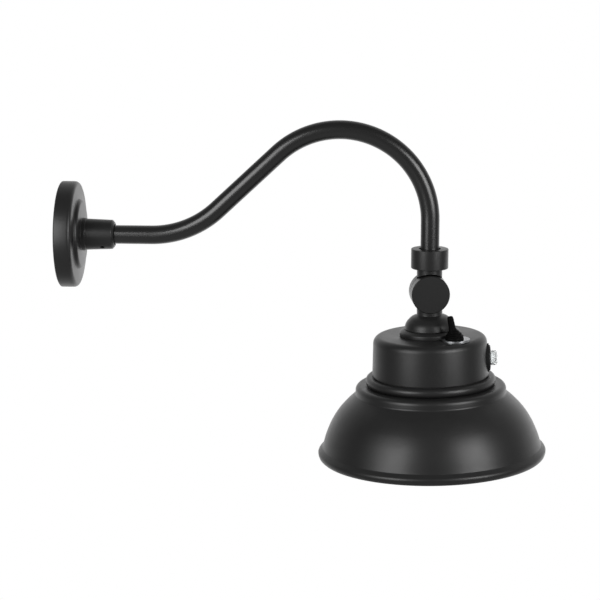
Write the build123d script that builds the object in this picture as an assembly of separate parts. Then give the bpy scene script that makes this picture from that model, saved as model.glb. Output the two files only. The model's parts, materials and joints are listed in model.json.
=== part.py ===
from build123d import *
import os
from math import cos, pi, radians, sin

# Gooseneck wall light with a swivelling, tilting lamp head.
# Millimetres. Origin: centre of the canopy's wall face. +X: out from the wall. +Z: up.

# Wall canopy: a hollow cast disc with a raised centre and a hub that grips the arm
canopy_radius = 60.3
canopy_face_x = 19.8
canopy_wall = 3.0
raised_radius = 38.5
raised_face_x = 24.0
hub_root_radius = 17.9
hub_tip_radius = 16.6
hub_end_x = 61.0
seat_gap = 0.5  # the casting stands off the wall by the gasket's squeeze
gasket_thickness = 2.0
strap_thickness = 2.0
strap_half_length = 50.0
strap_half_width = 11.0
canopy_screw_y = 44.45
box_slot_y = 34.93
box_slot_length = 12.0
set_screw_x = 48.0
set_screw_angle = 39.0  # off straight down, on the -Y side

# Gooseneck arm: half-inch trade pipe
tube_radius = 10.65
tube_wall = 2.1
arm_start_x = 33.0
first_bend_x = 103.0
first_bend_radius = 110.9
rise_angle = 43.0
rise_length = 94.7
crook_radius = 101.9
arm_end_z = -30.8
tube_fit = 0.05  # radial clearance in the hub and in the swivel socket

# Swivel socket and knuckle; heights are those of a plumb head
socket_radius = 21.1
socket_top_z = -12.2
socket_bottom_z = -34.5
upper_neck_radius = 14.3
lower_neck_radius = 14.5
pivot_z = -63.0
drum_radius = 21.7
drum_depth = 14.9  # of each half, along the pin
half_gap = 0.5  # from the middle plane to each half's face
neck_clearance = 1.9  # round a drum, where the other half's neck passes it
pin_radius = 4.0
knuckle_turn = 7.2  # of the knuckle's pin about +Z, from +Y
head_lean = 1.5  # of the whole head off plumb, its mouth swung outwards

# Bell, flange and driver housing
dome_top_z = -87.9
dome_shoulder = (21.0, -90.3)
dome_brow = (27.6, -97.3)
dome_foot_radius = 28.7
dome_bottom_z = -103.5
flange_radius = 34.4
flange_top_z = -104.5
flange_bottom_z = -111.4
housing_top_z = -112.0
housing_top_radius = 64.4
housing_bottom_radius = 66.5
housing_bottom_z = -157.4
housing_wall = 2.6
housing_edge = 8.0
stem_radius = 8.0
boss_circle = 56.5
boss_angles = [70, 160, 250, 340]
driver_screw_xs = (-43.5, 27.5)

# Heat sink with its bead, shade, light engine
sink_top_z = -158.6
sink_web_z = -163.0
bead_radius = 74.0
shade_top_z = -168.9
shade_opening = 56.0
shade_sheet = 1.6
rim_bead_radius = 2.8
rim_bead = (127.7, -250.2)
lens_top_z = -171.5
lens_radius = 65.5
shade_screw_circle = 69.6
chip_rings = [(12.0, 8), (24.0, 16), (36.0, 24)]

# Photocell on the housing's outer side, override switch on its top
photocell_z = -139.3
photocell_base_radius = 16.5
photocell_lens_radius = 8.5
switch_x = 27.8  # from the head's axis
switch_y = -36.2
plate_thickness = 2.4
plate_radius = 15.6
plate_offset = (1.7, 3.7)  # of its centre, from the switch
boot_radius = 10.4
lever_pivot_height = 1.5  # above the housing's top
lever_pin_radius = 0.8
lever_throw = 10.0  # each way from upright


def outline(corners):
    # a face from (x, y) corners; a third value rounds that corner
    face = make_face(Polyline([(c[0], c[1]) for c in corners], close=True))
    for c in corners:
        if len(c) == 3:
            corner = face.vertices().sort_by_distance((c[0], c[1], 0))[0]
            face = fillet(corner, c[2])
    return face


def turned(corners, spot=(0, 0, 0), toward=(0, 0, 1)):
    # a solid of revolution from (radius, height) corners
    return Plane(origin=spot, z_dir=toward) * revolve(Plane.XZ * outline(corners), Axis.Z)


def rod(radius, start, end):
    way = Vector(*end) - Vector(*start)
    base = Cylinder(radius, way.length, align=(Align.CENTER, Align.CENTER, Align.MIN))
    return Plane(origin=start, z_dir=way) * base


def tube(outer, inner, start, end):
    return rod(outer, start, end) - rod(inner, start, end)


def hexagon(across_flats, start, end):
    way = Vector(*end) - Vector(*start)
    flat = RegularPolygon(across_flats / 2, 6, major_radius=False)
    return Plane(origin=start, z_dir=way) * extrude(flat, way.length)


def around(radius, angle):
    return radius * cos(radians(angle)), radius * sin(radians(angle))


def arm_path():
    run = Line((arm_start_x, 0), (first_bend_x, 0))
    lift = JernArc(run @ 1, run % 1, first_bend_radius, rise_angle)
    rise = Line(lift @ 1, (lift @ 1) + (lift % 1) * rise_length)
    crook = JernArc(rise @ 1, rise % 1, crook_radius, -90 - rise_angle)
    drop = Line(crook @ 1, ((crook @ 1).X, arm_end_z))
    return Plane.XZ * (run + lift + rise + crook + drop)


arm_line = arm_path()
head_x = (arm_line @ 1).X
pin_axis = (-sin(radians(knuckle_turn)), cos(radians(knuckle_turn)), 0)


def at_knuckle(shape):
    # from the knuckle's own frame: pivot at the origin, pin along Y
    return Location((head_x, 0, pivot_z), (0, 0, knuckle_turn)) * shape


def hung(shape):
    # a plumb head piece, leaned about the knuckle's pin
    return shape.rotate(Axis((head_x, 0, pivot_z), pin_axis), -head_lean)


def on_head(corners):
    return turned(corners, (head_x, 0, 0))


# ---- wall side

def wall_canopy():
    inner = canopy_radius - canopy_wall
    face = [
        (0, seat_gap),
        (canopy_radius, seat_gap, 1.6),
        (canopy_radius, canopy_face_x, 4.9),
        (raised_radius + 1.5, canopy_face_x, 1.2),
        (raised_radius, raised_face_x, 2.4),
        (hub_root_radius + 0.7, raised_face_x, 0.8),
        (hub_root_radius + 0.5, raised_face_x + 4.6, 0.4),
        (hub_root_radius - 0.15, raised_face_x + 5.0),
        (hub_tip_radius, hub_end_x - 2.6),
        (hub_tip_radius - 2.9, hub_end_x),
        (0, hub_end_x),
    ]
    body = turned(face, (0, 0, 0), (1, 0, 0))
    hollow = turned(
        [
            (0, 0),
            (inner, 0),
            (inner, canopy_face_x - canopy_wall, 3.0),
            (raised_radius - 2, canopy_face_x - canopy_wall),
            (raised_radius - 4, raised_face_x - canopy_wall, 1.5),
            (0, raised_face_x - canopy_wall),
        ],
        (0, 0, 0),
        (1, 0, 0),
    )
    seat = rod(inner + 1.4, (0, 0, 0), (gasket_thickness, 0, 0))
    body -= hollow + seat
    body -= rod(tube_radius - tube_wall, (0, 0, 0), (hub_end_x, 0, 0))
    body -= rod(tube_radius + tube_fit, (arm_start_x, 0, 0), (hub_end_x + 1, 0, 0))
    body -= rod(tube_radius + 1.6, (hub_end_x - 2.4, 0, 0), (hub_end_x + 1, 0, 0))
    for side in (-1, 1):
        y = side * canopy_screw_y
        body -= rod(2.2, (10, y, 0), (25, y, 0))
        body -= countersink(y, 0.05)
    body -= rod(2.55, (set_screw_x, 0, 0), set_screw_point(22))
    return body


def countersink(y, room):
    cone = [(0, 0), (2.2, 0), (4.3 + room, 2.4), (4.3 + room, 3.4), (0, 3.4)]
    return turned(cone, (canopy_face_x - 2.6, y, 0), (1, 0, 0))


def set_screw_point(distance):
    turn = radians(set_screw_angle)
    return (set_screw_x, -distance * sin(turn), -distance * cos(turn))


def canopy_gasket():
    outer = canopy_radius - canopy_wall + 1.2
    return tube(outer, outer - 5, (0, 0, 0), (gasket_thickness, 0, 0))


def mounting_crossbar():
    strap = Box(strap_thickness, 2 * strap_half_length, 2 * strap_half_width)
    strap = fillet(strap.edges().filter_by(Axis.X), 5)
    strap = Pos(strap_thickness / 2, 0, 0) * strap
    strap -= rod(5.2, (-1, 0, 0), (4, 0, 0))
    strap -= rod(1.7, (-1, -18, 0), (4, -18, 0))
    slot = Plane.YZ * SlotOverall(box_slot_length, 4.4)
    for side in (-1, 1):
        strap -= Pos(-1, side * box_slot_y, 0) * extrude(slot, 4)
        y = side * canopy_screw_y
        strap += rod(4.0, (strap_thickness, y, 0), (strap_thickness + 2.5, y, 0))
        strap -= rod(2.0, (-1, y, 0), (6, y, 0))
    return strap


def canopy_screws():
    screws = []
    for side in (-1, 1):
        y = side * canopy_screw_y
        screw = rod(1.95, (0.3, y, 0), (canopy_face_x - 1.5, y, 0))
        head = [(0, 0), (1.95, 0), (4.2, 2.4), (4.2, 2.7), (0, 2.7)]
        screw += turned(head, (canopy_face_x - 2.6, y, 0), (1, 0, 0))
        for turn in (0, 90):
            slot = Box(2.6, 4.6, 0.9)
            screw -= Pos(canopy_face_x, y, 0) * Rot(turn, 0, 0) * slot
        screws.append(screw)
    return Compound(screws)


def ground_screw():
    x = strap_thickness
    screw = rod(1.65, (0.1, -18, 0), (x, -18, 0))
    screw += rod(4.6, (x, -18, 0), (x + 0.8, -18, 0))
    screw += hexagon(6.4, (x + 0.8, -18, 0), (x + 3.6, -18, 0))
    screw -= Pos(x + 3.6, -18, 0) * Box(1.6, 8, 1.0)
    return screw


def arm_set_screw():
    screw = rod(2.5, set_screw_point(tube_radius + tube_fit), set_screw_point(15.6))
    return screw - hexagon(2.5, set_screw_point(13.2), set_screw_point(16))


def gooseneck_arm():
    start = arm_line @ 0
    ring = Circle(tube_radius) - Circle(tube_radius - tube_wall)
    return sweep(Plane(origin=start, z_dir=(1, 0, 0)) * ring, path=arm_line)


# ---- knuckle

def drum(side):
    # one half of the knuckle's drum, from its joint face outwards; side is +1 for +Y
    edge = 1.0
    corners = [
        (0, 0),
        (drum_radius, 0),
        (drum_radius, drum_depth - edge),
        (drum_radius - edge, drum_depth),
        (0, drum_depth),
    ]
    return turned(corners, (0, side * half_gap, 0), (0, side, 0))


def wire_pocket(side):
    near = (0, side * (half_gap - 0.01), 0)
    far = (0, side * (half_gap + 7.6), 0)
    passage_y = side * (half_gap + 3.9)
    pocket = tube(15.2, 7.5, near, far)
    return pocket, passage_y


def knuckle_upper():
    top = socket_top_z - pivot_z
    bottom = socket_bottom_z - pivot_z
    socket = [
        (0, bottom),
        (socket_radius, bottom, 1.0),
        (socket_radius, top, 0.7),
        (0, top),
    ]
    body = turned(socket) + rod(upper_neck_radius, (0, 0, 0), (0, 0, bottom))
    body -= rod(drum_radius + neck_clearance, (0, -20, 0), (0, half_gap, 0))
    body += drum(1)
    pocket, passage_y = wire_pocket(1)
    body -= pocket
    floor = arm_end_z - pivot_z
    body -= rod(3.3, (0, passage_y, 11), (0, passage_y, floor))
    body -= rod(tube_radius + tube_fit, (0, 0, floor - 0.4), (0, 0, top + 1))
    body -= rod(tube_radius + 1.7, (0, 0, top - 3.2), (0, 0, top + 1))
    body -= rod(pin_radius + tube_fit, (0, -1, 0), (0, 20, 0))
    body -= rod(7.3, (0, half_gap + 8.6, 0), (0, 20, 0))
    body -= rod(3.05, (0, 10, top - 11), (0, 30, top - 11))
    return at_knuckle(body)


def swivel_set_screw():
    z = socket_top_z - 11 - pivot_z
    screw = rod(3.0, (0, tube_radius + 0.3, z), (0, 18.6, z))
    return at_knuckle(screw - hexagon(3.0, (0, 15.4, z), (0, 19, z)))


def knuckle_lower():
    dome_top = dome_top_z - pivot_z
    dome_bottom = dome_bottom_z - pivot_z
    bell = [
        (0, dome_bottom),
        (dome_foot_radius, dome_bottom),
        (dome_brow[0], dome_brow[1] - pivot_z, 13.0),
        (dome_shoulder[0], dome_shoulder[1] - pivot_z, 13.0),
        (lower_neck_radius, dome_top, 0.9),
        (lower_neck_radius, 0),
        (0, 0),
    ]
    body = turned(bell)
    body -= rod(drum_radius + neck_clearance, (0, -half_gap, 0), (0, 20, 0))
    body += drum(-1)
    pocket, passage_y = wire_pocket(-1)
    body -= pocket
    body -= rod(3.3, (0, passage_y, -11), (0, passage_y, dome_bottom + 5))
    body -= tube(19.9, 17.7, (0, -half_gap - 1.6, 0), (0, -half_gap + 0.01, 0))
    body -= rod(pin_radius, (0, -12.5, 0), (0, 1, 0))
    body -= rod(stem_radius, (0, 0, dome_bottom - 1), (0, 0, dome_bottom + 11))
    return hung(at_knuckle(body))


def pivot_bolt():
    seat = half_gap + 8.6 + 1.7
    bolt = rod(pin_radius, (0, -12.4, 0), (0, seat, 0))
    bolt += turned([(0, 0), (6.5, 0), (6.5, 4.4, 0.6), (0, 4.4)], (0, seat, 0), (0, 1, 0))
    bolt -= hexagon(6.0, (0, seat + 1.4, 0), (0, seat + 5, 0))
    return hung(at_knuckle(bolt))


def pivot_washer():
    seat = half_gap + 8.6
    return hung(at_knuckle(tube(6.6, pin_radius, (0, seat + 0.1, 0), (0, seat + 1.7, 0))))


def knuckle_seal():
    ring = Plane(origin=(0, -half_gap - 0.55, 0), z_dir=(0, 1, 0)) * Torus(18.8, 1.0)
    return hung(at_knuckle(ring))


# ---- bell flange and stem

def bell_gasket():
    outer = dome_foot_radius - 1.0
    return hung(tube(outer, stem_radius, (head_x, 0, flange_top_z), (head_x, 0, dome_bottom_z)))


def flange_ring():
    corners = [
        (stem_radius, flange_bottom_z),
        (flange_radius, flange_bottom_z, 0.4),
        (flange_radius, flange_top_z - 2.6, 0.9),
        (dome_foot_radius + 1.2, flange_top_z, 0.8),
        (stem_radius, flange_top_z),
    ]
    return hung(on_head(corners))


def flange_gasket():
    ends = (head_x, 0, housing_top_z), (head_x, 0, flange_bottom_z)
    return hung(tube(flange_radius - 0.8, stem_radius, *ends))


def stem_nipple():
    return hung(tube(stem_radius, 6.0, (head_x, 0, -127.0), (head_x, 0, dome_bottom_z + 11)))


def stem_washer():
    top = housing_top_z - 3.0
    return hung(tube(14.5, stem_radius, (head_x, 0, top - 1.2), (head_x, 0, top)))


def stem_locknut():
    top = housing_top_z - 4.2
    nut = hexagon(24.0, (head_x, 0, top - 5.5), (head_x, 0, top))
    return hung(nut - rod(stem_radius, (head_x, 0, top - 6), (head_x, 0, top + 1)))


# ---- housing and heat sink

def driver_housing():
    inner_top = housing_top_z - 3.0
    shell = on_head(
        [
            (0, housing_bottom_z),
            (housing_bottom_radius, housing_bottom_z, 0.5),
            (housing_top_radius, housing_top_z, housing_edge),
            (0, housing_top_z),
        ]
    )
    hollow = on_head(
        [
            (0, housing_bottom_z - 1),
            (housing_bottom_radius - housing_wall, housing_bottom_z - 1),
            (housing_top_radius - housing_wall, inner_top, housing_edge - housing_wall),
            (0, inner_top),
        ]
    )
    for angle in boss_angles:
        x, y = around(boss_circle, angle)
        wall_x, wall_y = around(boss_circle + 5, angle)
        for px, py in ((x, y), (wall_x, wall_y)):
            hollow -= rod(4.4, (head_x + px, py, housing_bottom_z - 2), (head_x + px, py, inner_top + 1))
    shell -= hollow
    for angle in boss_angles:
        x, y = around(boss_circle, angle)
        shell -= rod(1.6, (head_x + x, y, housing_bottom_z - 1), (head_x + x, y, housing_bottom_z + 12))
    shell -= rod(stem_radius + 0.1, (head_x, 0, inner_top - 1), (head_x, 0, housing_top_z + 1))
    shell -= rod(6.1, switch_spot(-8), switch_spot(2))
    shell -= rod(6.2, photocell_spot(50), photocell_spot(75))
    return hung(shell)


def switch_spot(height):
    return (head_x + switch_x, switch_y, housing_top_z + height)


def photocell_spot(distance):
    return (head_x + distance, 0, photocell_z)


def screw_holes(radius, circle, angles, bottom, top):
    holes = []
    for angle in angles:
        x, y = around(circle, angle)
        holes.append(rod(radius, (head_x + x, y, bottom), (head_x + x, y, top)))
    return holes


def housing_gasket():
    ring = tube(
        housing_bottom_radius - 1.0, 50.5, (head_x, 0, sink_top_z), (head_x, 0, housing_bottom_z)
    )
    for hole in screw_holes(2.2, boss_circle, boss_angles, sink_top_z - 1, housing_bottom_z + 1):
        ring -= hole
    return hung(ring)


def heat_sink():
    body = on_head(
        [
            (0, sink_web_z),
            (62.0, sink_web_z),
            (62.0, shade_top_z),
            (bead_radius, shade_top_z, 4.4),
            (bead_radius, sink_top_z, 5.0),
            (0, sink_top_z),
        ]
    )
    for hole in screw_holes(2.2, boss_circle, boss_angles, sink_web_z - 1, sink_top_z + 1):
        body -= hole
    for hole in screw_holes(1.6, shade_screw_circle, shade_screw_angles(), shade_top_z - 1, shade_top_z + 7):
        body -= hole
    for hole in screw_holes(1.3, 42.0, [0, 90, 180, 270], sink_web_z - 1, sink_web_z + 3.4):
        body -= hole
    body -= rod(6.0, (head_x, 0, sink_web_z - 1), (head_x, 0, sink_top_z + 1))
    return hung(body)


def shade_screw_angles():
    return [15 + 60 * i for i in range(6)]


def pan_screw(shank, head, head_height, under_head, length, point):
    # an upward screw: its head below under_head, at the point (x, y)
    x, y = head_x + point[0], point[1]
    z = under_head
    screw = rod(shank, (x, y, z), (x, y, z + length))
    screw += turned([(0, -head_height), (head, -head_height, 0.5), (head, 0), (0, 0)], (x, y, z))
    for turn in (0, 90):
        screw -= Pos(x, y, z - head_height) * Rot(0, 0, turn) * Box(head * 1.1, 0.7, 1.8)
    return screw


def housing_screws():
    screws = [
        pan_screw(1.6, 3.6, 2.3, sink_web_z, 15.0, around(boss_circle, angle)) for angle in boss_angles
    ]
    return hung(Compound(screws))


def led_driver():
    floor = sink_top_z
    body = Pos(head_x - 8, 9, floor + 12) * Box(64, 36, 24)
    body = fillet(body.edges().filter_by(Axis.Z), 3)
    body += Pos(head_x - 8, 9, floor + 1) * Box(78, 14, 2)
    for x in driver_screw_xs:
        body -= rod(1.9, (head_x + x, 9, floor - 1), (head_x + x, 9, floor + 3))
    return hung(body)


def driver_screws():
    screws = []
    for x in driver_screw_xs:
        foot = sink_top_z + 2
        screw = rod(1.5, (head_x + x, 9, foot - 2), (head_x + x, 9, foot))
        screw += rod(3.0, (head_x + x, 9, foot), (head_x + x, 9, foot + 2.0))
        screw -= Pos(head_x + x, 9, foot + 2) * Box(4.4, 0.8, 1.6)
        screws.append(screw)
    return hung(Compound(screws))


# ---- light engine and shade

def led_board():
    board = tube(46.0, 3.0, (head_x, 0, sink_web_z - 1.6), (head_x, 0, sink_web_z))
    for hole in screw_holes(1.5, 42.0, [0, 90, 180, 270], sink_web_z - 2, sink_web_z + 1):
        board -= hole
    return hung(board)


def led_board_screws():
    under = sink_web_z - 1.6
    screws = [pan_screw(1.25, 2.4, 1.5, under, 4.6, around(42.0, angle)) for angle in (0, 90, 180, 270)]
    return hung(Compound(screws))


def led_chips():
    chips = []
    for radius, count in chip_rings:
        for i in range(count):
            angle = 360 * (i + 0.5) / count
            x, y = around(radius, angle)
            chip = Box(3.0, 3.0, 0.7, align=(Align.CENTER, Align.CENTER, Align.MAX))
            chips.append(Pos(head_x + x, y, sink_web_z - 1.6) * Rot(0, 0, angle) * chip)
    return hung(Compound(chips))


def lens_gasket():
    ends = (head_x, 0, lens_top_z), (head_x, 0, shade_top_z - shade_sheet)
    return hung(tube(lens_radius, 58.0, *ends))


def lens():
    # a shallow moulded pan with a flat clamping rim
    rim = lens_top_z - 2.0
    floor = rim - 6.5
    pan = [
        (0, floor),
        (51.0, floor, 9.0),
        (58.0, rim, 1.0),
        (lens_radius, rim),
        (lens_radius, lens_top_z),
        (57.0, lens_top_z, 1.0),
        (50.5, floor + 2.2, 7.5),
        (0, floor + 2.2),
    ]
    return hung(on_head(pan))


def lens_ring():
    seat = shade_top_z - shade_sheet
    lip = lens_top_z - 2.0
    ring = on_head(
        [
            (lens_radius + 0.3, seat),
            (lens_radius + 0.3, lip),
            (60.5, lip),
            (60.5, lip - 1.6, 0.6),
            (73.6, lip - 1.6, 1.2),
            (73.6, seat),
        ]
    )
    for hole in screw_holes(1.9, shade_screw_circle, shade_screw_angles(), lip - 3, seat + 1):
        ring -= hole
    return hung(ring)


def shade_screws():
    under = lens_top_z - 3.6
    length = shade_top_z - under + 6
    screws = [
        pan_screw(1.6, 3.3, 2.1, under, length, around(shade_screw_circle, angle))
        for angle in shade_screw_angles()
    ]
    return hung(Compound(screws))


def shade():
    # the sheet's outer line, from the opening over the shoulder and down the dome to the rim
    line = FilletPolyline(
        (shade_opening, shade_top_z),
        (85.8, shade_top_z),
        (86.1, -179.4),
        (101.3, -193.0),
        (113.6, -209.2),
        (121.6, -228.0),
        (124.5, -237.6),
        (128.4, -241.9),
        (130.2, -249.0),
        radius=[5.6, 2.4, 95, 80, 100, 4, 8],
    )
    sheet = make_face(line.wire().offset_2d(shade_sheet, side=Side.RIGHT))
    bead = Pos(*rim_bead) * Circle(rim_bead_radius)
    body = Pos(head_x, 0, 0) * revolve(Plane.XZ * (sheet + bead), Axis.Z)
    for hole in screw_holes(1.9, shade_screw_circle, shade_screw_angles(), shade_top_z - 3, shade_top_z + 1):
        body -= hole
    return hung(body)


# ---- photocell

def photocell_gasket():
    base = photocell_wall()
    pad = rod(photocell_base_radius, photocell_spot(base - 3.5), photocell_spot(base + 0.9))
    pad -= rod(5.9, photocell_spot(base - 5), photocell_spot(base + 2))
    return hung(pad - housing_block())


def photocell_wall():
    # the housing's outer radius at the photocell's height
    share = (photocell_z - housing_top_z) / (housing_bottom_z - housing_top_z)
    return housing_top_radius + share * (housing_bottom_radius - housing_top_radius)


def housing_block():
    return on_head(
        [
            (0, housing_bottom_z),
            (housing_bottom_radius, housing_bottom_z),
            (housing_top_radius, housing_top_z),
            (0, housing_top_z),
        ]
    )


def photocell_body():
    base = photocell_wall() + 0.9
    body = turned(
        [(0, 0), (14.6, 0), (14.6, 1.6, 0.8), (photocell_lens_radius, 1.6), (photocell_lens_radius, 0.6), (0, 0.6)],
        photocell_spot(base),
        (1, 0, 0),
    )
    return hung(body + rod(5.85, photocell_spot(base - 14), photocell_spot(base)))


def photocell_sensor():
    base = photocell_wall() + 1.5
    return hung(rod(2.6, photocell_spot(base), photocell_spot(base + 1.8)))


def photocell_lens():
    base = photocell_wall() + 1.5
    cup = turned(
        [
            (6.9, 0),
            (photocell_lens_radius - 0.05, 0),
            (photocell_lens_radius - 0.05, 9.4, 1.6),
            (0, 9.4),
            (0, 7.8),
            (6.9, 7.8, 1.0),
        ],
        photocell_spot(base),
        (1, 0, 0),
    )
    return hung(cup)


def photocell_nut():
    face = photocell_wall() - housing_wall - 1.2
    nut = hexagon(17.0, photocell_spot(face - 3.5), photocell_spot(face))
    return hung(nut - rod(5.85, photocell_spot(face - 5), photocell_spot(face + 1)))


# ---- override switch

def switch_plate():
    # a disc with a bay for the flange
    pad = Pos(*plate_offset) * Cylinder(plate_radius, plate_thickness, align=(Align.CENTER, Align.CENTER, Align.MIN))
    pad = Pos(*switch_spot(0)) * fillet(pad.edges().group_by(Axis.Z)[-1], 0.8)
    pad -= rod(flange_radius + 0.4, (head_x, 0, housing_top_z - 1), (head_x, 0, flange_top_z))
    return hung(pad - rod(6.1, switch_spot(-1), switch_spot(plate_thickness + 1)))


def switch_body():
    under = -3.0
    case = Pos(*switch_spot(under - 7.5)) * Box(24.0, 12.0, 12.0)
    case += rod(7.5, switch_spot(under - 1.6), switch_spot(under))
    case += rod(5.95, switch_spot(under), switch_spot(5.6))
    for x in (-8.5, 0, 8.5):
        lug = Box(0.9, 4.6, 7.5, align=(Align.CENTER, Align.CENTER, Align.MAX))
        case += Pos(head_x + switch_x + x, switch_y, housing_top_z + under - 13.5) * lug
    well = turned([(0, -4.8), (3.8, -4.8), (3.8, 2), (4.8, 6), (0, 6)], switch_spot(0))
    return hung(case - well) - lever_pin()


def switch_nut():
    nut = hexagon(14.0, switch_spot(plate_thickness), switch_spot(plate_thickness + 2.4))
    return hung(nut - rod(5.95, switch_spot(0), switch_spot(6)))


def switch_boot():
    skin = turned(
        [
            (8.4, plate_thickness),
            (boot_radius, plate_thickness),
            (boot_radius - 0.2, 6.8, 1.4),
            (boot_radius - 2.2, 8.4, 1.8),
            (5.6, 13.2, 0.4),
            (4.4, 13.2),
            (6.7, 8.2),
            (8.4, 6.2),
        ],
        switch_spot(0),
    )
    return hung(skin)


def lever_at_throw(shape):
    pivot = switch_spot(lever_pivot_height)
    return hung(shape.rotate(Axis(pivot, (0, 1, 0)), -lever_throw))


def lever_pin_rod(radius, half_length):
    x, y, z = switch_spot(lever_pivot_height)
    return rod(radius, (x, y - half_length, z), (x, y + half_length, z))


def lever_pin():
    return hung(lever_pin_rod(lever_pin_radius, 5.2))


def switch_lever():
    bat = turned([(0, -3.6), (1.3, -3.6, 1.2), (1.5, 9), (2.4, 26.5, 1.6), (0, 26.5)], switch_spot(0))
    bat += Pos(*switch_spot(lever_pivot_height)) * Sphere(2.6)
    return lever_at_throw(bat - lever_pin_rod(lever_pin_radius + 0.04, 4))


def lever_sleeve():
    sleeve = turned(
        [(2.0, 14.8), (4.5, 14.8, 0.5), (3.5, 29.4, 1.4), (0, 29.4), (0, 26.6), (2.6, 26.6)], switch_spot(0)
    )
    return lever_at_throw(sleeve)


pieces = [
    wall_canopy,
    canopy_gasket,
    mounting_crossbar,
    canopy_screws,
    ground_screw,
    arm_set_screw,
    gooseneck_arm,
    knuckle_upper,
    swivel_set_screw,
    knuckle_lower,
    pivot_bolt,
    pivot_washer,
    knuckle_seal,
    bell_gasket,
    flange_ring,
    flange_gasket,
    stem_nipple,
    stem_washer,
    stem_locknut,
    driver_housing,
    housing_gasket,
    heat_sink,
    housing_screws,
    led_driver,
    driver_screws,
    led_board,
    led_board_screws,
    led_chips,
    lens_gasket,
    lens,
    lens_ring,
    shade,
    shade_screws,
    photocell_gasket,
    photocell_body,
    photocell_sensor,
    photocell_lens,
    photocell_nut,
    switch_plate,
    switch_body,
    switch_nut,
    switch_boot,
    lever_pin,
    switch_lever,
    lever_sleeve,
]

os.makedirs("parts", exist_ok=True)
for piece in pieces:
    export_step(piece(), f"parts/{piece.__name__}.step")
print(f"head axis at x = {head_x:.3f}, pin axis = ({pin_axis[0]:.5f}, {pin_axis[1]:.5f}, 0)")
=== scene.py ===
import bpy
import bmesh
import json
from math import cos, hypot, pi, radians, sin
from mathutils import Matrix, Vector

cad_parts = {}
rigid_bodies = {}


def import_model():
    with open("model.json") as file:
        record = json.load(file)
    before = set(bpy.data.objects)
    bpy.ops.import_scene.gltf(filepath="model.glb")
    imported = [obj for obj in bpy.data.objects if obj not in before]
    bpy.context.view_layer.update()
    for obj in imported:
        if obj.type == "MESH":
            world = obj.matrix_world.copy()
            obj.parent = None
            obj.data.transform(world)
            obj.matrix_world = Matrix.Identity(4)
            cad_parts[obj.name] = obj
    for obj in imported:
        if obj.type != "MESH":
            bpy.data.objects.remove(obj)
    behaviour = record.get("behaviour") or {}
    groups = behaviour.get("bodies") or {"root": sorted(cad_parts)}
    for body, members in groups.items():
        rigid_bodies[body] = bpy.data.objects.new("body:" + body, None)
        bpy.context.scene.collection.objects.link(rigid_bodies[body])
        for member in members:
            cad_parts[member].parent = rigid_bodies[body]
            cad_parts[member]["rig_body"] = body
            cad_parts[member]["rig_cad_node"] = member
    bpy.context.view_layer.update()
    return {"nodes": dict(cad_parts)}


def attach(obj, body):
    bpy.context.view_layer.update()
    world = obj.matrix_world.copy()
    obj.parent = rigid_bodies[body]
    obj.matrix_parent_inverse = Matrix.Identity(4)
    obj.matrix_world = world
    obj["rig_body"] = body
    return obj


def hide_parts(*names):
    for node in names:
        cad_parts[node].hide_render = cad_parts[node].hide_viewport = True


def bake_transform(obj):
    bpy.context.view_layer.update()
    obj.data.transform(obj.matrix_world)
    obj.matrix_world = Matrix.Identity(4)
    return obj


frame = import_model()
print("frame loaded")

mm = 0.001
mergeGap = 1e-6  # metres; vertices nearer than this become one
ringSlack = 2e-6  # metres; how far off a vertex may be and still count to a ring
poleRadius = 0.02  # mm; a ring on the axis is drawn this small, then merged into a pole

headX = 419.288 * mm
pivot = Vector((headX, 0, -63.0 * mm))
knuckleTurn = radians(7.2)  # the knuckle's pin, off the arm's plane
headLean = radians(-1.5)  # the head hangs a little off plumb
pinAxis = Vector((-sin(knuckleTurn), cos(knuckleTurn), 0))

leaning = (Matrix.Translation(pivot) @ Matrix.Rotation(headLean, 4, pinAxis)
           @ Matrix.Translation(-pivot))
headPlace = leaning @ Matrix.Translation((headX, 0, 0))
wallPlace = Matrix.Rotation(pi / 2, 4, "Y")  # a turned piece's height runs out of the wall


# modelling

def pickNothing():
    if bpy.context.object and bpy.context.object.mode == "EDIT":
        bpy.ops.object.mode_set(mode="OBJECT")
    bpy.ops.object.select_all(action="DESELECT")


def pickOnly(piece):
    pickNothing()
    piece.select_set(True)
    bpy.context.view_layer.objects.active = piece


def startEdit(piece, mode="EDGE"):
    pickOnly(piece)
    bpy.ops.object.mode_set(mode="EDIT")
    bpy.ops.mesh.select_mode(type=mode)


def endEdit():
    bpy.ops.object.mode_set(mode="OBJECT")


def ringOf(radius, height):
    # a test for the vertices of one ring of a turned piece
    def inRing(v):
        offRadius = abs(hypot(v.co.x, v.co.y) - radius)
        return offRadius < ringSlack and abs(v.co.z - height) < ringSlack
    return inRing


def pickEdges(piece, test):
    mesh = bmesh.from_edit_mesh(piece.data)
    for kind in (mesh.verts, mesh.edges, mesh.faces):
        for part in kind:
            part.select = False
    for edge in mesh.edges:
        if all(test(v) for v in edge.verts):
            edge.select = True
    mesh.select_flush_mode()
    bmesh.update_edit_mesh(piece.data)


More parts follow.
